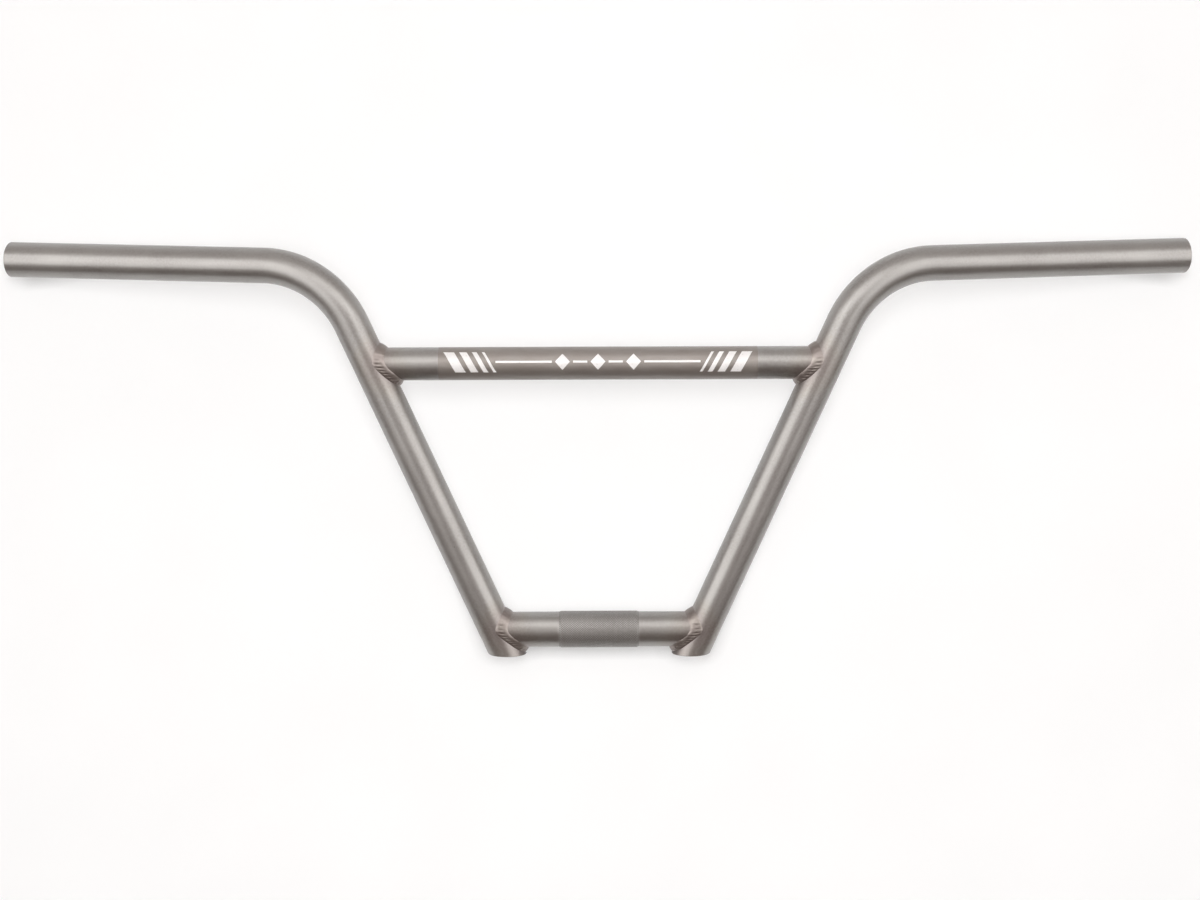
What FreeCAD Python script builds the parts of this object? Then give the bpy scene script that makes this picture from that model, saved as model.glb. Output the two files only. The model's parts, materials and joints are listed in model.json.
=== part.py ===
import FreeCAD, Part

import math
import os

from FreeCAD import Vector

# A four-piece welded steel BMX handlebar: two bent side tubes, a crossbar and a short clamp tube.
# Millimetres and degrees. The origin is the centre of the clamp tube, +X runs along it,
# +Z points up the rise and the grips sweep back towards +Y.

# Shape of the bar, taken on the centre lines of its tubes
bar_width = 749.0           # between the centres of the two open grip ends
bar_rise = 233.4            # from the clamp axis up to the centre of a grip end
back_sweep = 11.0           # grips turned back towards the rider
up_sweep = 1.0              # grips turned up
leg_lean = 24.35            # legs lean outwards from upright
leg_spacing = 130.4         # between the two leg axes at the clamp axis
crossbar_height = 169.3     # from the clamp axis up to the crossbar axis
bend_radius = 62.0          # of the bend between leg and grip

# Tubes
side_diameter = 22.2
side_wall = 1.25
crossbar_diameter = 20.6
crossbar_wall = 1.0
clamp_diameter = 22.2
clamp_wall = 2.5
leg_overhang = 4.4          # leg left below the underside of the clamp tube
grip_end_chamfer = 0.3

# Raised band of the clamp tube that carries the knurling
knurl_length = 47.5         # full height, without its run-outs
knurl_height = 0.45
knurl_run_out = 1.5         # length of the slope at each end of the band

# Weld beads, as straight widths from toe to toe across a joint's corner
crossbar_bead_width_above = 6.4
crossbar_bead_width_below = 4.0
clamp_bead_width_above = 6.6
clamp_bead_land = 1.2       # leg left bare between the bead's lower toe and the sawn end
bead_crown = 0.1            # rise of the bead's middle above a flat face
bead_shoulder = 0.3         # share of the width that slopes up from each toe
bead_root = 1.5             # depth of the bead's root behind the corner
bead_toe_depth = 0.4        # how far the toes run into the tubes before they are trimmed
bead_turn_radius = 2.6      # easing of the bead's path at the sides of the joint
bead_sections = 24          # sections lofted round one joint

side_radius = side_diameter / 2
lean = math.radians(leg_lean)
leg_foot_x = leg_spacing / 2
leg_drop = clamp_diameter / 2 + leg_overhang

origin = Vector(0, 0, 0)
x_axis = Vector(1, 0, 0)
leg_foot = Vector(leg_foot_x, 0, 0)
leg_direction = Vector(math.sin(lean), 0, math.cos(lean))
sweep_back = math.radians(back_sweep)
sweep_up = math.radians(up_sweep)
grip_direction = Vector(
    math.cos(sweep_back) * math.cos(sweep_up),
    math.sin(sweep_back) * math.cos(sweep_up),
    math.sin(sweep_up),
)

# The leg's axis, run up from its foot, meets the grip's axis at the corner that the bend rounds off
run_out = bar_width / 2 - leg_foot_x
spread = leg_direction.z * grip_direction.x - leg_direction.x * grip_direction.z
foot_to_corner = (bar_rise * grip_direction.x - run_out * grip_direction.z) / spread
corner_to_grip_end = (run_out * leg_direction.z - bar_rise * leg_direction.x) / spread
bend_corner = leg_foot + leg_direction * foot_to_corner
grip_end = bend_corner + grip_direction * corner_to_grip_end

# Where the leg's axis starts, far enough below the saw cut for the whole tube to pass it
leg_start = leg_foot - leg_direction * ((leg_drop + side_diameter) / math.cos(lean))


def side_path():
    """Centre line of the right side tube: leg, bend and grip."""
    turn = leg_direction.getAngle(grip_direction)
    tangent_length = bend_radius * math.tan(turn / 2)
    inward = (grip_direction - leg_direction).normalize()
    bend_start = bend_corner - leg_direction * tangent_length
    bend_middle = bend_corner + inward * (bend_radius / math.cos(turn / 2) - bend_radius)
    bend_end = bend_corner + grip_direction * tangent_length
    return Part.Wire([
        Part.LineSegment(leg_start, bend_start).toShape(),
        Part.Arc(bend_start, bend_middle, bend_end).toShape(),
        Part.LineSegment(bend_end, grip_end).toShape(),
    ])


def below_sawn_end():
    """Block that takes off everything below the level saw cut at the foot of a leg."""
    size = leg_spacing + side_diameter * 4
    return Part.makeBox(size, size, size, Vector(-size / 2, -size / 2, -leg_drop - size))


def bent_bar(radius):
    """Solid round bar along the right side tube's centre line."""
    disc = Part.Face(Part.Wire(Part.makeCircle(radius, leg_start, leg_direction)))
    return side_path().makePipe(disc)


def right_side_tube():
    """Leg, bend and grip in one bent tube, sawn level at the foot and deburred at the grip end."""
    tube = bent_bar(side_radius).cut(bent_bar(side_radius - side_wall)).cut(below_sawn_end())
    rims = [e for e in tube.Edges if e.BoundBox.Center.distanceToPoint(grip_end) < side_wall]
    return tube.makeChamfer(grip_end_chamfer, rims)


def right_leg_bar():
    """Solid bar in the place of the straight leg, used to mitre and trim what is welded to it."""
    length = leg_start.distanceToPoint(bend_corner)
    return Part.makeCylinder(side_radius, length, leg_start, leg_direction)


def mirrored(shape):
    """The same shape on the other side of the bar."""
    return shape.mirror(origin, x_axis)


def mitred(tube):
    """Tube with both ends cut to seat on the legs."""
    leg = right_leg_bar()
    return tube.cut(leg).cut(mirrored(leg))


def bar_along_x(radius, height, half_length):
    """Solid round bar along X, centred over the clamp."""
    return Part.makeCylinder(radius, 2 * half_length, Vector(-half_length, 0, height), x_axis)


def leg_x_at(height):
    """Distance from the middle of the bar to a leg's axis at a height above the clamp axis."""
    return leg_foot_x + height * math.tan(lean)


def crossbar():
    """Thin straight tube between the legs."""
    radius = crossbar_diameter / 2
    half_length = leg_x_at(crossbar_height)
    outer = bar_along_x(radius, crossbar_height, half_length)
    bore = bar_along_x(radius - crossbar_wall, crossbar_height, half_length)
    return mitred(outer.cut(bore))


def clamp_tube():
    """Short thick tube with its raised band, turned as one piece about the clamp axis."""
    outer = clamp_diameter / 2
    bore = outer - clamp_wall
    band = outer + knurl_height
    band_end = knurl_length / 2
    slope_end = band_end + knurl_run_out
    profile = [
        (-leg_foot_x, bore),
        (-leg_foot_x, outer),
        (-slope_end, outer),
        (-band_end, band),
        (band_end, band),
        (slope_end, outer),
        (leg_foot_x, outer),
        (leg_foot_x, bore),
    ]
    points = [Vector(x, 0, radius) for x, radius in profile]
    face = Part.Face(Part.makePolygon(points + points[:1]))
    return mitred(face.revolve(origin, x_axis, 360))


def bead_section(angle, radius, height, width):
    """Section of a weld bead in the plane through the tube's axis, at an angle from straight up.

    Points in that plane are (x, distance from the tube's axis, 0). The bead starts from the corner
    between the tube and the leg and reaches equally far along both of their surfaces.
    """
    up = math.cos(angle)
    side = math.sin(angle)

    # The corner, eased where tube and leg are about to run into each other
    clear = side_radius ** 2 - (radius * side) ** 2
    easing = 2 * bead_turn_radius ** 2
    offset = -math.sqrt((clear + math.hypot(clear, easing)) / 2)
    corner_x = leg_x_at(height) + (radius * up * math.sin(lean) + offset) / math.cos(lean)
    corner = Vector(corner_x, radius, 0)

    # The leg's surface at the corner: its normal, its direction away from the tube, its curvature
    across_leg = Vector(math.cos(lean), -up * math.sin(lean), 0)
    gradient = across_leg * offset + Vector(0, radius * side ** 2, 0)
    leg_normal = Vector(gradient).normalize()
    along_leg = Vector(leg_normal.y, -leg_normal.x, 0)
    curvature = (along_leg.dot(across_leg) ** 2 + (along_leg.y * side) ** 2) / gradient.Length
    along_tube = Vector(-1, 0, 0)

    # A face of the given width between the two toes, raised in its middle
    reach = width / (2 * math.sin(along_leg.getAngle(along_tube) / 2))
    leg_edge = corner + along_leg * reach
    tube_edge = corner + along_tube * reach
    leg_sag = curvature * reach ** 2 / 2
    shoulder = (leg_edge - tube_edge) * bead_shoulder
    outward = Vector(-shoulder.y, shoulder.x, 0).normalize()
    outline = [
        tube_edge - Vector(0, bead_toe_depth, 0),
        tube_edge + shoulder + outward * bead_crown,
        leg_edge - shoulder + outward * bead_crown,
        leg_edge - leg_normal * (leg_sag + bead_toe_depth),
        corner - outward * bead_root,
    ]
    points = [Vector(p.x, p.y * side, height + p.y * up) for p in outline]
    return Part.makePolygon(points + points[:1])


def weld_bead(radius, height, width_above, width_below):
    """Bead round the joint of a level tube and the right leg, trimmed to both of their surfaces."""
    sections = []
    for number in range(bead_sections):
        angle = 2 * math.pi * number / bead_sections
        share_above = (1 + math.cos(angle)) / 2
        width = width_below + (width_above - width_below) * share_above
        sections.append(bead_section(angle, radius, height, width))
    bead = Part.makeLoft(sections, True, False, True)
    return bead.cut(right_leg_bar()).cut(bar_along_x(radius, height, leg_x_at(height)))


def crossbar_welds():
    """Beads round both ends of the crossbar."""
    radius = crossbar_diameter / 2
    bead = weld_bead(radius, crossbar_height, crossbar_bead_width_above, crossbar_bead_width_below)
    return Part.makeCompound([bead, mirrored(bead)])


def clamp_welds():
    """Beads round both ends of the clamp tube, narrower below, where little of the leg is left."""
    toe_below = (leg_overhang - clamp_bead_land) / math.cos(lean)
    width_below = 2 * toe_below * math.sin((math.pi / 2 - lean) / 2)
    bead = weld_bead(clamp_diameter / 2, 0, clamp_bead_width_above, width_below)
    return Part.makeCompound([bead, mirrored(bead)])


right_tube = right_side_tube()
nodes = {
    "right_side_tube": right_tube,
    "left_side_tube": mirrored(right_tube),
    "crossbar": crossbar(),
    "clamp_tube": clamp_tube(),
    "crossbar_welds": crossbar_welds(),
    "clamp_welds": clamp_welds(),
}

os.makedirs("parts", exist_ok=True)
for name, shape in nodes.items():
    shape.exportStep("parts/" + name + ".step")
    print(name, "solids", len(shape.Solids), "valid", shape.isValid(), "volume", round(shape.Volume, 1))
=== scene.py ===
import json
import math
import random

import bmesh
import bpy
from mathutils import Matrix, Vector
from mathutils.kdtree import KDTree


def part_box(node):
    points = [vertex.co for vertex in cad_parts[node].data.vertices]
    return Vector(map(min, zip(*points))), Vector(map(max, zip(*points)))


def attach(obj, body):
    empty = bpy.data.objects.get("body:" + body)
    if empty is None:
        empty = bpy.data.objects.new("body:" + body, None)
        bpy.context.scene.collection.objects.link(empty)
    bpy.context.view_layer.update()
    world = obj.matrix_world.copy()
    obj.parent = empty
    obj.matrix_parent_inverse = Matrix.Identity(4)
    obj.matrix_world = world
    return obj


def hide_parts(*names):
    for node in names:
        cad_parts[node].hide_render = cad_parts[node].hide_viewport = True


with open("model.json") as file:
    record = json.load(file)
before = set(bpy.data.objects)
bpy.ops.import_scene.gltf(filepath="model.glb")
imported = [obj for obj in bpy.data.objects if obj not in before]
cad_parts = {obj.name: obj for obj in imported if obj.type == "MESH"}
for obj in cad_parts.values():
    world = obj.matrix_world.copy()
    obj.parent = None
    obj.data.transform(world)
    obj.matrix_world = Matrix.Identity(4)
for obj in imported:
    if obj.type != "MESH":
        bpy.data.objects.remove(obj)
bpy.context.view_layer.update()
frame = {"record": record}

# Metres and radians. Side tubes and beads are built on the right and mirrored to the left.
MM = 0.001

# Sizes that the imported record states
mounts = {mount["name"]: mount for mount in frame["record"]["mounts"]}
grip_direction = Vector(mounts["right_grip"]["axis"])
grip_middle = Vector(mounts["right_grip"]["pos_m"])
grip_length = mounts["right_grip"]["dims"]["length_mm"] * MM
side_radius = mounts["right_grip"]["dims"]["r_mm"] * MM
side_bore = mounts["right_bar_end"]["dims"]["r_mm"] * MM
band_radius = mounts["stem_clamp"]["dims"]["r_mm"] * MM
band_length = mounts["stem_clamp"]["dims"]["length_mm"] * MM
foot_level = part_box("right_side_tube")[0].z

# Other sizes of the solids
leg_lean = math.radians(24.35)
bend_radius = 62 * MM
crossbar_height = 169.3 * MM
crossbar_radius = 10.3 * MM
crossbar_bore = 9.3 * MM
clamp_height = 0.0
clamp_radius = 11.1 * MM
clamp_bore = 8.6 * MM
band_run_out = 1.5 * MM
rim_edge = 0.3 * MM           # breaking of the rims at the grip ends and the feet

# Weld beads
crossbar_bead_widths = (6.4 * MM, 4.0 * MM)   # straight from toe to toe, above and below a joint
clamp_bead_widths = (6.6 * MM, 3.8 * MM)
bead_crown = 0.1 * MM
bead_root = 1.5 * MM
bead_toe_depth = 0.4 * MM
bead_turn_radius = 2.6 * MM
bead_roundness = 2.6          # power that shapes a bead's arch
bead_side_reach = 4.2 * MM    # how much further a bead feathers out along its tube at the sides of a joint
bead_side_lift = 0.35         # how much thicker it is there, as a share
bead_side_fall = 0.6          # how strongly both lean towards the underside of the joint
bead_swells = (0.9, 1.12)     # least and greatest thickness that a ripple may have, as a share
crossbar_bead_seed = 11
clamp_bead_seed = 12
left_seed_step = 10           # added to a seed for the bead on the left

# Ripples that a hand-fed rod leaves on a bead
ripple_pitch = 2.5 * MM
ripple_depth = 0.36 * MM
ripple_roundness = 1.7        # power that shapes a ripple's hollow
ripple_bow = 0.42             # share of a ripple by which its middle runs ahead of its ends
ripple_middle = 0.62          # where the ripples are deepest, as a share of the width from tube to leg
ripple_spread = 0.2           # how far they reach from there, as a share of the width
ripple_on_top = 0.25          # share of the ripples' depth that is left on top of a joint
ripple_grows_from = 0.55      # cosine of the angle from straight up at which they start to deepen
ripple_grows_over = 0.7       # fall of that cosine until they are at their full depth
painted_shade_narrowing = 1.5        # power that keeps the painted shade of a ripple near its deepest line
heat_and_painted_shade = 0.55             # share of that dark colour put on top of a joint, partly heat colour and partly painted shade
underside_share = 0.6              # its square is the share of that shade which the underside has

# Knurling
knurl_round = 60              # diamonds round the tube
knurl_along = 30              # diamonds along the band
knurl_depth = 0.09 * MM       # from the diamonds' tips down to the grooves

# Decal on the crossbar: a tinted film with a plain design in white ink
film_half_length = 99 * MM
film_above = math.radians(100)        # round the tube from the design's middle line
film_below = math.radians(82)
film_thickness = 0.06 * MM
ink_thickness = 0.03 * MM
design_tilt = math.radians(11)        # the design's middle line lies this far above the front of the tube
pinstripe_width = 1.3 * MM
pinstripe_gap = 2 * MM                # from a lozenge's tip to the pinstripe
bar_widths = [6.5 * MM, 4.6 * MM, 3.0 * MM, 1.7 * MM]
bar_gap = 3.2 * MM
bar_height = 13.5 * MM
bar_slant = 0.55                      # run per rise
bars_from = 92 * MM                   # outer edge of the widest bar, from the middle of the crossbar
lozenge_half_length = 4.6 * MM
lozenge_half_height = 5.2 * MM
lozenge_spacing = 22 * MM

# Mesh fineness
round_steps = 96
leg_rows = 120
bend_rows = 40
grip_rows = 24
leg_bore_rows = 8
grip_bore_rows = 4
crossbar_rows = 130
crossbar_bore_rows = 2
clamp_rows = 16
knurl_steps = 4               # steps over one diamond
path_steps = 720              # steps round a joint when a bead's length is measured
ripple_steps = 8              # steps over one ripple
bead_steps = 14               # steps across a bead
sheet_step = 0.6 * MM
sharp_on_tubes = math.radians(30)
sharp_on_beads = math.radians(50)
sharp_on_sheets = math.radians(40)

# Heat tint of the steel beside the welds
heat_reach = 16 * MM
heat_wander = 2 * MM          # how far its edge strays either way

# Table: the bar lies just clear of it at the backs of its feet and a little above it at its grip ends
foot_clearance = 0.2 * MM
grip_clearance = 4 * MM
table_half = 2.5
paper_glow = 0.61             # light that keeps the paper white for the eye
paper_in_metal = 0.75         # share of that glow which the metal mirrors
paper_shade_reach = 14 * MM   # how near a thing has to be to shade the paper
paper_shade_least = 0.3       # glow that is left in the deepest of this shade
paper_shade_rise = 1.5        # tips the shade's direction up, so that paper above a thing stays white

# Lamps
lamp_distance = 1.6           # of all but the one close above the bar

# Camera, as the photograph was taken
camera_target = Vector((1.05, 10.0, 113.3)) * MM
camera_distance = 1.25
camera_elevation = math.radians(7.83)
camera_roll = math.radians(-0.21)
camera_lens = 59.32

# The side tube's centre line
leg_direction = Vector((math.sin(leg_lean), 0, math.cos(leg_lean)))
bend_turn = leg_direction.angle(grip_direction)
bend_tangent = bend_radius * math.tan(bend_turn / 2)
bend_axis = leg_direction.cross(grip_direction).normalized()
bend_inward = bend_axis.cross(leg_direction)
bend_end = grip_middle - grip_direction * (grip_length / 2)
bend_corner = bend_end - grip_direction * bend_tangent
bend_start = bend_corner - leg_direction * bend_tangent
leg_foot = bend_corner - leg_direction * (bend_corner.z / leg_direction.z)
leg_length = (bend_start - leg_foot).length
bend_length = bend_radius * bend_turn
tube_length = leg_length + bend_length + grip_length + rim_edge


def on_side_tube(along, angle, radius):
    """Point at a length along the right side tube from the clamp's level, at an angle round it."""
    if along <= leg_length:
        centre = leg_foot + leg_direction * along
        direction = leg_direction
    elif along <= leg_length + bend_length:
        turned = (along - leg_length) / bend_radius
        direction = leg_direction * math.cos(turned) + bend_inward * math.sin(turned)
        rise = bend_inward * (1 - math.cos(turned))
        centre = bend_start + (leg_direction * math.sin(turned) + rise) * bend_radius
    else:
        centre = bend_end + grip_direction * (along - leg_length - bend_length)
        direction = grip_direction
    outward = bend_axis.cross(direction) * math.cos(angle) + bend_axis * math.sin(angle)
    return centre + outward * radius


def sawn_at(level, angle, radius):
    """Length along the leg at which its surface crosses a level."""
    outward = bend_inward * math.cos(angle) + bend_axis * math.sin(angle)
    return (level - outward.z * radius) / leg_direction.z


def joint_offset(angle, radius, easing):
    """Distance from the right leg's axis to a joint, in the bar's plane and below 0 towards its middle.

    Easing rounds off the joint's path at the sides, where the tube is about as wide as the leg.
    """
    clear = side_radius ** 2 - (radius * math.sin(angle)) ** 2
    return -math.sqrt((clear + math.hypot(clear, 2 * easing ** 2)) / 2)


def joint_x(angle, radius, height, easing=0.0):
    """Where a level tube's surface meets the right leg, at an angle from straight up round the tube."""
    offset = joint_offset(angle, radius, easing)
    leg_x = leg_foot.x + height * math.tan(leg_lean)
    return leg_x + (radius * math.cos(angle) * math.sin(leg_lean) + offset) / math.cos(leg_lean)


def round_x_axis(x, angle, radius, height):
    """Point of a level tube, at an angle from straight up towards +Y."""
    return Vector((x, radius * math.sin(angle), height + radius * math.cos(angle)))


def full_turn(steps):
    return [2 * math.pi * step / steps for step in range(steps)]


def limited(share):
    return min(1.0, max(0.0, share))


joints = [(crossbar_radius, crossbar_height), (clamp_radius, clamp_height)]
weld_line = KDTree(2 * len(joints) * round_steps)
for radius, height in joints:
    for angle in full_turn(round_steps):
        corner = round_x_axis(joint_x(angle, radius, height), angle, radius, height)
        weld_line.insert(corner, 0)
        weld_line.insert(Vector((-corner.x, corner.y, corner.z)), 0)
weld_line.balance()


def closed_mesh(name, rows, split_rows=range(0), second_rows=range(0)):
    """Mesh over rows of (point, tube coordinate) pairs; the rows and their order both close.

    Faces from a row in split_rows to the next are cut into triangles along the hollow diagonal,
    and faces from a row in second_rows get the piece's second material.
    """
    row_count = len(rows)
    size = len(rows[0])
    points = [point for row in rows for point, place in row]
    places = [place for row in rows for point, place in row]
    reach = [math.hypot(place.x, place.y) for place in places]
    faces = []
    materials = []
    for row in range(row_count):
        next_row = (row + 1) % row_count
        for column in range(size):
            next_column = (column + 1) % size
            a = row * size + column
            b = row * size + next_column
            c = next_row * size + next_column
            d = next_row * size + column
            if row not in split_rows:
                made = [(a, b, c, d)]
            elif reach[a] + reach[c] < reach[b] + reach[d]:
                made = [(a, b, c), (a, c, d)]
            else:
                made = [(a, b, d), (b, c, d)]
            faces.extend(made)
            materials.extend([int(row in second_rows)] * len(made))
    mesh = bpy.data.meshes.new(name)
    mesh.from_pydata(points, [], faces)
    mesh.polygons.foreach_set("material_index", materials)
    straight = mesh.attributes.new("straight", "FLOAT_VECTOR", "POINT")
    straight.data.foreach_set("vector", [number for place in places for number in place])
    gaps = [weld_line.find(point)[2] for point in points]
    mesh.attributes.new("weld_gap", "FLOAT", "POINT").data.foreach_set("value", gaps)
    return mesh


def set_painted_shade(mesh, darkness):
    """Painted shade at each vertex, none at 0."""
    mesh.attributes.new("painted_shade", "FLOAT", "POINT").data.foreach_set("value", darkness)


def smooth(mesh, sharp_angle):
    mesh.shade_smooth()
    mesh.set_sharp_from_angle(angle=sharp_angle)


def add_piece(mesh, materials, replaced=None):
    """Object for a finished mesh, riding with the bar."""
    for material in materials:
        mesh.materials.append(material)
    piece = bpy.data.objects.new(mesh.name, mesh)
    bpy.context.scene.collection.objects.link(piece)
    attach(piece, "root")
    if replaced:
        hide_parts(replaced)


def mirrored(mesh, name):
    """The same mesh on the other side of the bar, with its faces still turned outwards."""
    other = mesh.copy()
    other.name = name
    for vertex in other.vertices:
        vertex.co.x = -vertex.co.x
    other.flip_normals()
    return other


def side_tube_mesh(name):
    """Hollow bent tube, sawn level at the foot, with its rims broken."""
    angles = full_turn(round_steps)

    def row(along_at, radius):
        """Row round the tube, at a length along it that depends on the angle."""
        made = []
        for angle in angles:
            along = along_at(angle)
            place = Vector((radius * math.cos(angle), radius * math.sin(angle), along))
            made.append((on_side_tube(along, angle, radius), place))
        return made

    def leg_row(share, radius):
        """Row at a share of the way from the foot's rim to the bend."""
        def along_at(angle):
            start = sawn_at(foot_level + rim_edge, angle, radius)
            return start + (leg_length - start) * share
        return row(along_at, radius)

    def square_row(along, radius):
        return row(lambda angle: along, radius)

    def foot_rim(radius):
        return row(lambda angle: sawn_at(foot_level, angle, radius), radius)

    def wall(radius, rows_on_leg, rows_on_grip):
        """Rows from the foot to the grip end on one surface of the tube."""
        made = [leg_row(step / rows_on_leg, radius) for step in range(rows_on_leg)]
        for step in range(bend_rows):
            made.append(square_row(leg_length + bend_length * step / bend_rows, radius))
        for step in range(rows_on_grip + 1):
            made.append(square_row(leg_length + bend_length + grip_length * step / rows_on_grip, radius))
        return made

    outside = wall(side_radius, leg_rows, grip_rows)
    inside = wall(side_bore, leg_bore_rows, grip_bore_rows)
    grip_rims = [
        square_row(tube_length, side_radius - rim_edge),
        square_row(tube_length, side_bore + rim_edge),
    ]
    foot_rims = [foot_rim(side_bore + rim_edge), foot_rim(side_radius - rim_edge)]
    inside_from = len(outside) + len(grip_rims)
    inside_rows = range(inside_from, inside_from + len(inside) - 1)
    mesh = closed_mesh(name, outside + grip_rims + inside[::-1] + foot_rims, second_rows=inside_rows)
    smooth(mesh, sharp_on_tubes)
    return mesh


def level_row(angles, height, x_at, radius_at):
    """Row round a tube along X, whose place and radius depend on the angle."""
    made = []
    for angle in angles:
        x = x_at(angle)
        radius = radius_at(angle)
        place = Vector((radius * math.cos(angle), radius * math.sin(angle), x))
        made.append((round_x_axis(x, angle, radius, height), place))
    return made


def crossbar_mesh(name):
    """Plain tube between the legs."""
    angles = full_turn(round_steps)

    def row(share, radius):
        """Row at a share of the length from the left leg to the right one."""
        def x_at(angle):
            return joint_x(angle, radius, crossbar_height) * (2 * share - 1)
        return level_row(angles, crossbar_height, x_at, lambda angle: radius)

    def wall(radius, rows):
        return [row(step / rows, radius) for step in range(rows + 1)]

    outside = wall(crossbar_radius, crossbar_rows)
    inside = wall(crossbar_bore, crossbar_bore_rows)
    mesh = closed_mesh(name, outside + inside[::-1])
    mesh.flip_normals()
    smooth(mesh, sharp_on_tubes)
    return mesh


def knurl_height(x, angle):
    """Height of the knurling, from 0 in its grooves to 1 on the rounded tips of its diamonds."""
    across = angle / (2 * math.pi) * knurl_round
    along = (x / band_length + 0.5) * knurl_along
    rise = 1.0
    for groove in (across + along, across - along):
        rise = min(rise, 2 * abs(groove - round(groove)))
    return 1 - (1 - rise) ** 2


def clamp_tube_mesh(name):
    """Tube between the legs with a band of cut diamonds in its middle."""
    angles = full_turn(knurl_steps * knurl_round)
    slope_end = band_length / 2 + band_run_out

    def plain_row(x_at, radius):
        return level_row(angles, clamp_height, x_at, lambda angle: radius)

    def bore_row(side):
        return plain_row(lambda angle: side * joint_x(angle, clamp_bore, clamp_height), clamp_bore)

    def shoulder_row(side, share):
        """Row at a share of the way from a leg to the foot of the band's slope."""
        def x_at(angle):
            end = joint_x(angle, clamp_radius, clamp_height)
            return side * (end + (slope_end - end) * share)
        return plain_row(x_at, clamp_radius)

    def band_row(x):
        rise = limited((slope_end - abs(x)) / band_run_out)
        tip = clamp_radius + (band_radius - clamp_radius) * rise

        def radius_at(angle):
            return tip - knurl_depth * rise * (1 - knurl_height(x, angle))
        return level_row(angles, clamp_height, lambda angle: x, radius_at)

    shares = [step / clamp_rows for step in range(clamp_rows + 1)]
    left = [shoulder_row(-1, share) for share in shares]
    right = [shoulder_row(1, share) for share in shares[::-1]]
    band_step = band_length / (knurl_steps * knurl_along)
    band_steps = math.floor(slope_end / band_step)
    band = [band_row(number * band_step) for number in range(-band_steps, band_steps + 1)]
    rows = left + band + right + [bore_row(1), bore_row(-1)]
    band_rows = range(len(left) - 1, len(left) + len(band))
    mesh = closed_mesh(name, rows, split_rows=band_rows, second_rows=band_rows)
    # Groove depth at each vertex, which the knurled material turns into painted shade in the grooves and a
    # painted highlight on the tips
    grooves = []
    for row in rows:
        grooves.extend(1 - knurl_height(place.z, angle) for (point, place), angle in zip(row, angles))
    set_painted_shade(mesh, grooves)
    mesh.flip_normals()
    smooth(mesh, sharp_on_tubes)
    return mesh


def bead_section(angle, radius, height, width, phase, swell):
    """Closed outline across a bead at an angle round its tube, and how dark it is painted at each point:
    painted shade in the ripples' creases, and on top of and under the joint partly heat colour, partly
    painted shade.
    """
    up = math.cos(angle)
    side = math.sin(angle)
    corner = Vector((joint_x(angle, radius, height, bead_turn_radius), radius))

    # The leg's surface beside the corner: its normal, its direction away from the tube, its curvature
    across_leg = Vector((math.cos(leg_lean), -up * math.sin(leg_lean)))
    offset = joint_offset(angle, radius, bead_turn_radius)
    gradient = across_leg * offset + Vector((0, radius * side ** 2))
    leg_normal = gradient.normalized()
    along_leg = Vector((leg_normal.y, -leg_normal.x))
    curvature = (along_leg.dot(across_leg) ** 2 + (along_leg.y * side) ** 2) / gradient.length
    along_tube = Vector((-1, 0))

    # The bead's toes, sunk into the tube and the leg
    reach = width / (2 * math.sin(along_leg.angle(along_tube) / 2))
    beside = side ** 2 * (1 - bead_side_fall * up)
    leg_sag = curvature * reach ** 2 / 2
    leg_toe = corner + along_leg * reach - leg_normal * (leg_sag + bead_toe_depth)
    tube_toe = corner + along_tube * (reach + bead_side_reach * beside) - Vector((0, bead_toe_depth))
    across = leg_toe - tube_toe
    outward = Vector((-across.y, across.x)).normalized()

    thickness = (bead_crown + bead_toe_depth) * (1 + bead_side_lift * beside)
    growth = limited((ripple_grows_from - up) / ripple_grows_over)
    ripple_strength = ripple_on_top + (1 - ripple_on_top) * growth
    # Darker on top of and under the joint: partly heat colour, partly painted shade
    heat_and_shade = heat_and_painted_shade * max(up, -underside_share * up) ** 2
    outline = []
    darkness = []
    for step in range(bead_steps + 1):
        share = step / bead_steps
        arch = 1 - abs(2 * share - 1) ** bead_roundness
        turned = phase + ripple_bow * (1 - (2 * share - 1) ** 2)
        hollow = abs(2 * (turned - math.floor(turned)) - 1) ** ripple_roundness
        hollow *= ripple_strength * math.exp(-((share - ripple_middle) / ripple_spread) ** 2)
        lift = thickness * arch * swell - ripple_depth * hollow
        outline.append(tube_toe + across * share + outward * lift)
        darkness.append(hollow ** painted_shade_narrowing + heat_and_shade)
    outline.append(corner - outward * bead_root)
    darkness.append(0.0)
    return [Vector((p.x, p.y * side, height + p.y * up)) for p in outline], darkness


def bead_mesh(name, radius, height, widths, seed):
    """Rippled bead round the right end of a level tube."""
    width_above, width_below = widths
    angles = full_turn(path_steps) + [2 * math.pi]
    corners = [
        round_x_axis(joint_x(angle, radius, height, bead_turn_radius), angle, radius, height)
        for angle in angles
    ]
    lengths = [0.0]
    for before, after in zip(corners, corners[1:]):
        lengths.append(lengths[-1] + (after - before).length)

    chance = random.Random(seed)
    ripples = round(lengths[-1] / ripple_pitch)
    swells = [chance.uniform(*bead_swells) for ripple in range(ripples)]
    rows = []
    darkness = []
    at = 0
    for number in range(ripples * ripple_steps):
        wanted = lengths[-1] * number / (ripples * ripple_steps)
        while lengths[at + 1] < wanted:
            at += 1
        share = (wanted - lengths[at]) / (lengths[at + 1] - lengths[at])
        angle = angles[at] + (angles[at + 1] - angles[at]) * share
        above = (1 + math.cos(angle)) / 2
        width = width_below + (width_above - width_below) * above
        phase = number / ripple_steps
        outline, shades = bead_section(angle, radius, height, width, phase, swells[int(phase)])
        rows.append([(point, Vector((phase, step, 0))) for step, point in enumerate(outline)])
        darkness.extend(shades)
    mesh = closed_mesh(name, rows)
    set_painted_shade(mesh, darkness)
    return mesh


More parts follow.
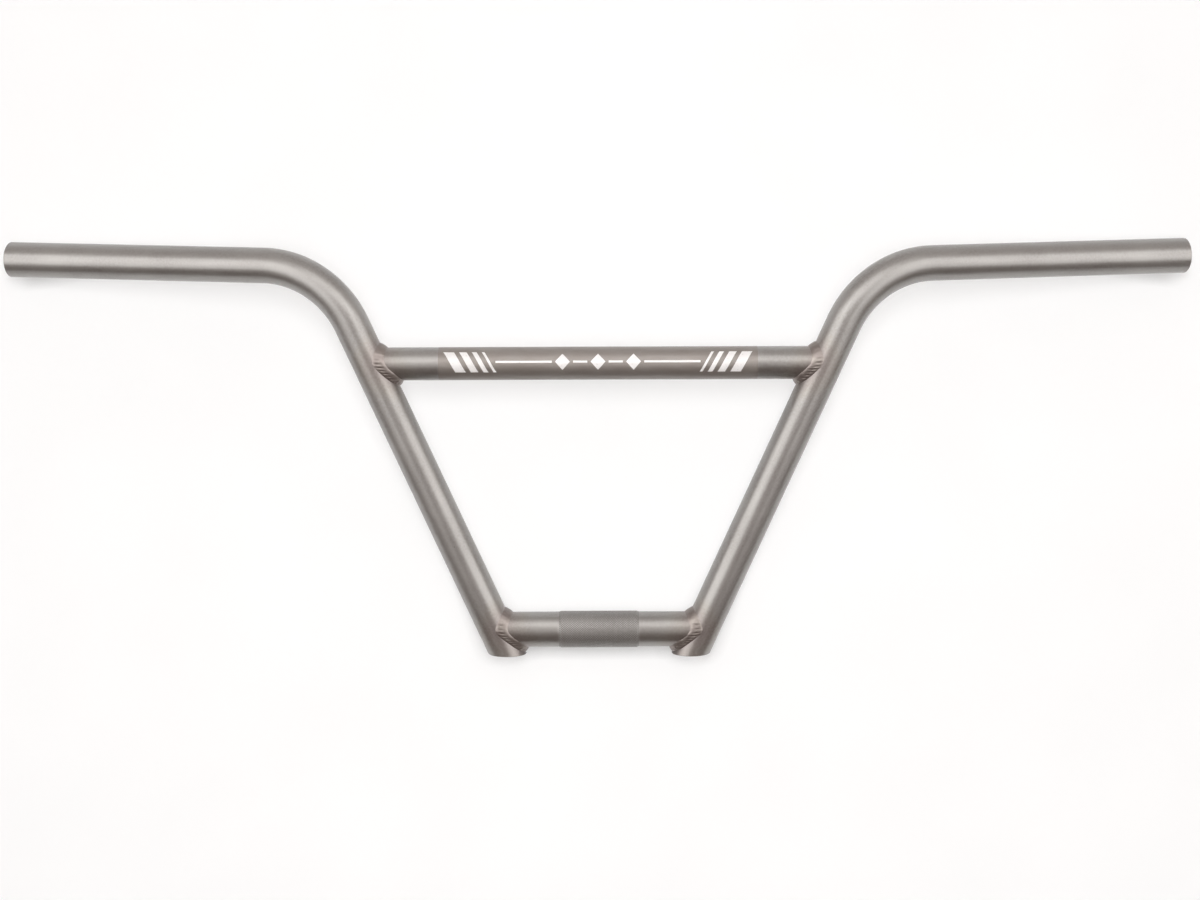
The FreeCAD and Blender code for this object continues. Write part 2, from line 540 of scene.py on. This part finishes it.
def bead_pair(name, radius, height, widths, seed):
    """The beads at both ends of a level tube in one mesh."""
    right = bead_mesh(name + "_right", radius, height, widths, seed)
    left = bead_mesh(name + "_left", radius, height, widths, seed + left_seed_step)
    both = bmesh.new()
    both.from_mesh(right)
    both.from_mesh(mirrored(left, name + "_mirrored"))
    mesh = bpy.data.meshes.new(name)
    both.to_mesh(mesh)
    both.free()
    smooth(mesh, sharp_on_beads)
    return mesh


def wrapped(name, patches, radius, thickness):
    """Thin sheets laid round the crossbar's front.

    Each patch is four corners, given as (x, arc above the design's middle line).
    """
    sheets = bmesh.new()
    for corners in patches:
        a, b, c, d = [Vector(corner) for corner in corners]
        steps = max(2, round(max((d - a).length, (c - b).length) / sheet_step))
        grid = []
        for i in range(steps + 1):
            start = a.lerp(d, i / steps)
            end = b.lerp(c, i / steps)
            line = []
            for j in range(steps + 1):
                flat = start.lerp(end, j / steps)
                angle = -math.pi / 2 + design_tilt + flat.y / radius
                line.append(sheets.verts.new(round_x_axis(flat.x, angle, radius, crossbar_height)))
            grid.append(line)
        for low, high in zip(grid, grid[1:]):
            for j in range(steps):
                sheets.faces.new((low[j], low[j + 1], high[j + 1], high[j]))
    bmesh.ops.recalc_face_normals(sheets, faces=sheets.faces)
    bmesh.ops.solidify(sheets, geom=sheets.faces, thickness=thickness)
    mesh = bpy.data.meshes.new(name)
    sheets.to_mesh(mesh)
    sheets.free()
    smooth(mesh, sharp_on_sheets)
    return mesh


def rectangle(x0, x1, y0, y1):
    return [(x0, y0), (x1, y0), (x1, y1), (x0, y1)]


def decal_design():
    """Slanted bars that thin towards the middle, three lozenges, and a pinstripe between them."""
    patches = []
    edge = bars_from
    lean = bar_slant * bar_height / 2
    low, high = -bar_height / 2, bar_height / 2
    for width in bar_widths:
        bar = [
            (edge - width - lean, low), (edge - lean, low),
            (edge + lean, high), (edge - width + lean, high),
        ]
        patches.append(bar)
        patches.append([(-x, y) for x, y in bar])
        edge -= width + bar_gap
    for place in (-1, 0, 1):
        x = place * lozenge_spacing
        patches.append([
            (x - lozenge_half_length, 0), (x, -lozenge_half_height),
            (x + lozenge_half_length, 0), (x, lozenge_half_height),
        ])
    half = pinstripe_width / 2
    gap = lozenge_half_length + pinstripe_gap
    stops = [
        -edge, -lozenge_spacing - gap, -lozenge_spacing + gap, -gap,
        gap, lozenge_spacing - gap, lozenge_spacing + gap, edge,
    ]
    for start, end in zip(stops[::2], stops[1::2]):
        patches.append(rectangle(start, end, -half, half))
    return patches


def put(tree, socket, value):
    """Set a socket to a value, or link it where the value is a socket itself."""
    if isinstance(value, bpy.types.NodeSocket):
        tree.links.new(value, socket)
    else:
        socket.default_value = value


def add_node(tree, kind, settings=None, **sockets):
    """New shader node with its settings, and its sockets filled by name."""
    made = tree.nodes.new(kind)
    for name, value in (settings or {}).items():
        setattr(made, name, value)
    for name, value in sockets.items():
        put(tree, made.inputs[name.replace("_", " ")], value)
    return made


def new_material(name):
    material = bpy.data.materials.new(name)
    material.use_nodes = True
    material.node_tree.nodes.clear()
    return material, material.node_tree


def attribute(tree, name):
    return add_node(tree, "ShaderNodeAttribute", {"attribute_name": name})


def noise(tree, vector, scale, detail=3.0, rough=0.55):
    made = add_node(tree, "ShaderNodeTexNoise", Vector=vector, Scale=scale, Detail=detail, Roughness=rough)
    return made.outputs["Fac"]


def vector_maths(tree, operation, first, second=(0, 0, 0)):
    made = add_node(tree, "ShaderNodeVectorMath", {"operation": operation})
    put(tree, made.inputs[0], first)
    put(tree, made.inputs[1], second)
    return made.outputs["Vector"]


def ranged(tree, value, low, high, to_low, to_high):
    """Value moved from the range low to high into the range to_low to to_high, and held there."""
    made = add_node(tree, "ShaderNodeMapRange", Value=value)
    names = ("From Min", "From Max", "To Min", "To Max")
    for name, number in zip(names, (low, high, to_low, to_high)):
        made.inputs[name].default_value = number
    return made.outputs["Result"]


def maths(tree, operation, first, second):
    made = add_node(tree, "ShaderNodeMath", {"operation": operation})
    put(tree, made.inputs[0], first)
    put(tree, made.inputs[1], second)
    return made.outputs["Value"]


def mixed(tree, factor, first, second, blend="MIX"):
    made = add_node(tree, "ShaderNodeMix", {"data_type": "RGBA", "blend_type": blend})
    sockets = {socket.identifier: socket for socket in made.inputs}
    for name, value in (("Factor_Float", factor), ("A_Color", first), ("B_Color", second)):
        put(tree, sockets[name], value)
    return next(socket for socket in made.outputs if socket.identifier == "Result_Color")


def colour(red, green, blue):
    return (red, green, blue, 1.0)


def ramp(tree, value, stops):
    """Colour ramp from (position, colour) pairs."""
    made = add_node(tree, "ShaderNodeValToRGB", Fac=value)
    elements = made.color_ramp.elements
    while len(elements) < len(stops):
        elements.new(0.5)
    for element, (position, shade) in zip(elements, stops):
        element.position = position
        element.color = shade
    return made.outputs["Color"]


def bump(tree, height, strength, distance):
    made = add_node(tree, "ShaderNodeBump", Height=height, Strength=strength, Distance=distance)
    return made.outputs["Normal"]


def finish_surface(tree, **sockets):
    shader = add_node(tree, "ShaderNodeBsdfPrincipled", **sockets)
    add_node(tree, "ShaderNodeOutputMaterial", Surface=shader.outputs["BSDF"])


def raw_steel(name, dullness=0.0, painted_tip_highlight=1.0, painted_groove_shade=1.0):
    """Clear-coated bare steel with drawn lines along the tube, mottling, grain, pits and heat tint.

    Where it is knurled, painted_tip_highlight and painted_groove_shade are the brightness painted on the
    diamonds' tips and in the grooves: a painted highlight and painted shade.
    """
    material, tree = new_material(name)
    place = attribute(tree, "straight").outputs["Vector"]
    mottle = noise(tree, vector_maths(tree, "MULTIPLY", place, (1, 1, 0.45)), scale=70, detail=4)
    speckle = noise(tree, place, scale=650, detail=4, rough=0.7)
    grain = noise(tree, place, scale=2400, detail=2)
    drawn = noise(tree, vector_maths(tree, "MULTIPLY", place, (1, 1, 0.03)), scale=900, detail=3, rough=0.6)

    patches = ranged(tree, mottle, 0.35, 0.68, 0, 1)
    base = mixed(tree, patches, colour(0.36, 0.348, 0.333), colour(0.28, 0.266, 0.253))
    specks = ranged(tree, speckle, 0.3, 0.7, 0, 0.7)
    base = mixed(tree, specks, base, colour(0.412, 0.401, 0.387))
    to_pit = add_node(tree, "ShaderNodeTexVoronoi", Vector=place, Scale=60.0).outputs["Distance"]
    pits = ranged(tree, to_pit, 0.015, 0.03, 0.5, 0)
    base = mixed(tree, pits, base, colour(0.12, 0.10, 0.09))

    gap = attribute(tree, "weld_gap").outputs["Fac"]
    wander = ranged(tree, speckle, 0, 1, -heat_wander, heat_wander)
    away = ranged(tree, maths(tree, "ADD", gap, wander), 0, heat_reach, 0, 1)
    tint = ramp(tree, away, [
        (0.0, colour(0.84, 0.77, 0.77)),
        (0.35, colour(0.91, 0.86, 0.84)),
        (0.65, colour(0.97, 0.95, 0.92)),
        (1.0, colour(1, 1, 1)),
    ])
    base = mixed(tree, 1.0, base, tint, "MULTIPLY")
    # Painted shade in the knurl's grooves and a painted highlight on the tips of its diamonds
    groove = attribute(tree, "painted_shade").outputs["Fac"]
    painted_knurl_light = ranged(tree, groove, 0, 1, painted_tip_highlight, painted_groove_shade)
    base = mixed(tree, 1.0, base, painted_knurl_light, "MULTIPLY")

    streaks = ranged(tree, drawn, 0.3, 0.7, 0.38 + dullness, 0.45 + dullness)
    roughness = maths(tree, "ADD", streaks, ranged(tree, speckle, 0.3, 0.7, -0.03, 0.05))
    fine = maths(tree, "MULTIPLY", grain, 0.6)
    lines = maths(tree, "MULTIPLY", drawn, 0.5)
    relief = maths(tree, "ADD", maths(tree, "ADD", fine, lines), speckle)
    finish_surface(
        tree, Base_Color=base, Metallic=1.0, Roughness=roughness,
        Coat_Weight=0.7, Coat_Roughness=0.2,
        Normal=bump(tree, relief, 0.3, 0.06 * MM),
    )
    return material


def bore_steel(name):
    """Dull scaled steel inside the tubes."""
    material, tree = new_material(name)
    place = attribute(tree, "straight").outputs["Vector"]
    scale = noise(tree, place, scale=260, detail=5, rough=0.65)
    base = ramp(tree, scale, [(0.3, colour(0.10, 0.085, 0.075)), (0.7, colour(0.24, 0.21, 0.185))])
    finish_surface(
        tree, Base_Color=base, Metallic=0.8, Roughness=ranged(tree, scale, 0.3, 0.7, 0.5, 0.75),
        Normal=bump(tree, scale, 0.3, 0.1 * MM),
    )
    return material


def weld_steel(name):
    """Filler metal with heat colours, with painted shade in the creases of its ripples and on top of and
    under each joint.
    """
    material, tree = new_material(name)
    place = add_node(tree, "ShaderNodeTexCoord").outputs["Object"]
    painted_shade = attribute(tree, "painted_shade").outputs["Fac"]
    drift = noise(tree, place, scale=160, detail=3)
    grain = noise(tree, place, scale=2200, detail=3)
    base = ramp(tree, drift, [
        (0.32, colour(0.30, 0.26, 0.245)),
        (0.5, colour(0.34, 0.30, 0.28)),
        (0.68, colour(0.38, 0.345, 0.315)),
    ])
    # Painted shade from the mesh: in the ripples' creases, and on top of and under each joint, where it is
    # partly heat colour
    base = mixed(tree, maths(tree, "MULTIPLY", painted_shade, 0.65), base, colour(0.14, 0.115, 0.105))
    finish_surface(
        tree, Base_Color=base, Metallic=1.0, Roughness=ranged(tree, grain, 0.3, 0.7, 0.33, 0.46),
        Coat_Weight=0.35, Coat_Roughness=0.2,
        Normal=bump(tree, grain, 0.2, 0.05 * MM),
    )
    return material


def tinted_film(name):
    """Dark glossy film over the steel, with a little dust and unevenness."""
    material, tree = new_material(name)
    place = add_node(tree, "ShaderNodeTexCoord").outputs["Object"]
    cloud = noise(tree, vector_maths(tree, "MULTIPLY", place, (0.3, 1, 1)), scale=180, detail=3)
    dust = noise(tree, place, scale=2600, detail=2, rough=0.7)
    base = ramp(tree, cloud, [(0.35, colour(0.303, 0.275, 0.253)), (0.65, colour(0.338, 0.313, 0.291))])
    finish_surface(
        tree, Base_Color=base, Metallic=0.9, Roughness=ranged(tree, dust, 0.35, 0.7, 0.52, 0.62),
        Coat_Weight=0.8, Coat_Roughness=0.2,
        Normal=bump(tree, cloud, 0.15, 0.1 * MM),
    )
    return material


def white_ink(name):
    """White print under the film's gloss, thin in places."""
    material, tree = new_material(name)
    place = add_node(tree, "ShaderNodeTexCoord").outputs["Object"]
    cover = noise(tree, place, scale=900, detail=4, rough=0.7)
    base = ramp(tree, cover, [(0.25, colour(0.62, 0.60, 0.58)), (0.42, colour(0.86, 0.855, 0.85))])
    finish_surface(
        tree, Base_Color=base, Roughness=ranged(tree, cover, 0.3, 0.7, 0.45, 0.32),
        Coat_Weight=0.4, Coat_Roughness=0.12,
        Normal=bump(tree, cover, 0.15, 0.04 * MM),
    )
    return material


def table_paper(name):
    """White paper that stays white for the eye and the metal, keeps shadows and is clear from behind."""
    material, tree = new_material(name)
    path = add_node(tree, "ShaderNodeLightPath").outputs
    seen = maths(tree, "MAXIMUM", path["Is Camera Ray"], path["Is Transmission Ray"])
    mirrored_share = maths(tree, "MULTIPLY", path["Is Glossy Ray"], paper_in_metal)
    seen = maths(tree, "MAXIMUM", seen, mirrored_share)

    surface = add_node(tree, "ShaderNodeNewGeometry").outputs
    raised = vector_maths(tree, "ADD", surface["Normal"], (0, 0, paper_shade_rise))
    raised = vector_maths(tree, "NORMALIZE", raised)
    # Painted contact shadow: the glow is dimmed where something comes near the paper
    shade = add_node(
        tree, "ShaderNodeAmbientOcclusion", {"samples": 8}, Distance=paper_shade_reach, Normal=raised,
    )
    open_share = ranged(tree, shade.outputs["AO"], 0, 1, paper_shade_least, 1)
    strength = maths(tree, "MULTIPLY", maths(tree, "MULTIPLY", seen, open_share), paper_glow)
    glow = add_node(tree, "ShaderNodeEmission", Color=colour(1, 1, 1), Strength=strength)

    place = add_node(tree, "ShaderNodeTexCoord").outputs["Object"]
    fibre = noise(tree, place, scale=12, detail=2)
    white = ramp(tree, fibre, [(0.3, colour(0.39, 0.39, 0.39)), (0.7, colour(0.41, 0.41, 0.41))])
    lit = add_node(tree, "ShaderNodeBsdfDiffuse", Color=white)
    face = add_node(tree, "ShaderNodeAddShader")
    tree.links.new(lit.outputs["BSDF"], face.inputs[0])
    tree.links.new(glow.outputs["Emission"], face.inputs[1])
    clear = add_node(tree, "ShaderNodeBsdfTransparent")
    either = add_node(tree, "ShaderNodeMixShader", Fac=surface["Backfacing"])
    tree.links.new(face.outputs["Shader"], either.inputs[1])
    tree.links.new(clear.outputs["BSDF"], either.inputs[2])
    add_node(tree, "ShaderNodeOutputMaterial", Surface=either.outputs["Shader"])
    return material


steel = raw_steel("raw_steel")
knurled = raw_steel("knurled_steel", dullness=0.19, painted_tip_highlight=1.45, painted_groove_shade=0.45)
dull_steel = bore_steel("bore_steel")
filler = weld_steel("weld_filler")
film = tinted_film("tinted_film")
ink = white_ink("white_ink")

right_tube = side_tube_mesh("right_bent_tube")
left_tube = mirrored(right_tube, "left_bent_tube")
add_piece(right_tube, [steel, dull_steel], "right_side_tube")
add_piece(left_tube, [steel, dull_steel], "left_side_tube")
add_piece(crossbar_mesh("straight_crossbar"), [steel], "crossbar")
add_piece(clamp_tube_mesh("knurled_clamp_tube"), [steel, knurled], "clamp_tube")

crossbar_beads = bead_pair(
    "rippled_crossbar_welds", crossbar_radius, crossbar_height, crossbar_bead_widths, crossbar_bead_seed,
)
add_piece(crossbar_beads, [filler], "crossbar_welds")
clamp_beads = bead_pair(
    "rippled_clamp_welds", clamp_radius, clamp_height, clamp_bead_widths, clamp_bead_seed,
)
add_piece(clamp_beads, [filler], "clamp_welds")

film_radius = crossbar_radius + film_thickness
film_patch = rectangle(
    -film_half_length, film_half_length, -film_below * film_radius, film_above * film_radius,
)
add_piece(wrapped("crossbar_film", [film_patch], film_radius, film_thickness), [film])
ink_radius = film_radius + ink_thickness
add_piece(wrapped("crossbar_print", decal_design(), ink_radius, ink_thickness), [ink])

grip_end = grip_middle + grip_direction * (grip_length / 2 + rim_edge)
table_slope = (grip_end.y + grip_clearance - foot_clearance) / (grip_end.z - foot_level)
table_low = side_radius + foot_clearance - table_slope * foot_level


def table_point(x, z):
    return Vector((x, table_low + table_slope * z, z))


table_mesh = bpy.data.meshes.new("table")
table_corners = rectangle(-table_half, table_half, -table_half, table_half)
table_mesh.from_pydata([table_point(x, z) for x, z in table_corners], [], [(0, 1, 2, 3)])
table_mesh.materials.append(table_paper("table_paper"))
table = bpy.data.objects.new("table", table_mesh)
bpy.context.scene.collection.objects.link(table)


def softbox(name, azimuth, elevation, distance, width, height, power, seen_by):
    """Rectangular lamp that faces the bar and lights the metal or the paper alone.

    Its azimuth runs from the front towards +X; both angles are in degrees.
    """
    a, e = math.radians(azimuth), math.radians(elevation)
    towards = Vector((math.sin(a) * math.cos(e), -math.cos(a) * math.cos(e), math.sin(e)))
    light = bpy.data.lights.new(name, "AREA")
    light.shape = "RECTANGLE"
    light.size = width
    light.size_y = height
    light.energy = power
    lamp = bpy.data.objects.new(name, light)
    lamp.location = camera_target + towards * distance
    lamp.rotation_mode = "QUATERNION"
    lamp.rotation_quaternion = towards.to_track_quat("Z", "Y")
    lamp.visible_camera = False
    lamp.visible_diffuse = seen_by == "paper"
    lamp.visible_glossy = seen_by == "metal"
    bpy.context.scene.collection.objects.link(lamp)


softbox(
    "left_softbox", azimuth=-45, elevation=9, distance=lamp_distance,
    width=1.63, height=1.5, power=14.0, seen_by="metal",
)
softbox(
    "right_softbox", azimuth=47, elevation=9, distance=lamp_distance,
    width=1.63, height=1.5, power=12.7, seen_by="metal",
)
softbox(
    "top_softbox", azimuth=0, elevation=38, distance=0.615,
    width=0.55, height=0.40, power=0.88, seen_by="metal",
)
softbox(
    "front_fill", azimuth=1, elevation=7, distance=lamp_distance,
    width=1.0, height=1.2, power=0.95, seen_by="metal",
)
softbox(
    "shadow_softbox", azimuth=0, elevation=13, distance=lamp_distance,
    width=0.35, height=0.9, power=19.5, seen_by="paper",
)

# Room light: a warm grey, darkest from below, and plain white behind the scene
world = bpy.data.worlds.new("room")
world.use_nodes = True
room = world.node_tree
room.nodes.clear()
direction = add_node(room, "ShaderNodeTexCoord").outputs["Generated"]
height_in_sky = add_node(room, "ShaderNodeSeparateXYZ", Vector=direction).outputs["Z"]
sky = ramp(room, ranged(room, height_in_sky, -1, 1, 0, 1), [
    (0.0, colour(0.146, 0.114, 0.102)),
    (0.5, colour(0.237, 0.192, 0.173)),
    (0.75, colour(0.44, 0.39, 0.366)),
    (1.0, colour(0.685, 0.64, 0.62)),
])
to_camera = add_node(room, "ShaderNodeLightPath").outputs["Is Camera Ray"]
sky = mixed(room, to_camera, sky, colour(1, 1, 1))
background = add_node(room, "ShaderNodeBackground", Color=sky, Strength=1.0)
add_node(room, "ShaderNodeOutputWorld", Surface=background.outputs["Background"])
bpy.context.scene.world = world
bpy.context.scene.view_settings.view_transform = "Standard"

forward = Vector((0, math.cos(camera_elevation), -math.sin(camera_elevation)))
lens = bpy.data.cameras.new("camera")
lens.lens = camera_lens
lens.sensor_fit = "HORIZONTAL"
lens.sensor_width = 36.0
lens.clip_start = 0.05
lens.clip_end = 20.0
camera = bpy.data.objects.new("camera", lens)
camera.location = camera_target - forward * camera_distance
camera.rotation_mode = "XYZ"
camera.rotation_euler = forward.to_track_quat("-Z", "Y").to_euler()
camera.rotation_euler.rotate_axis("Z", camera_roll)
bpy.context.scene.collection.objects.link(camera)
bpy.context.scene.camera = camera
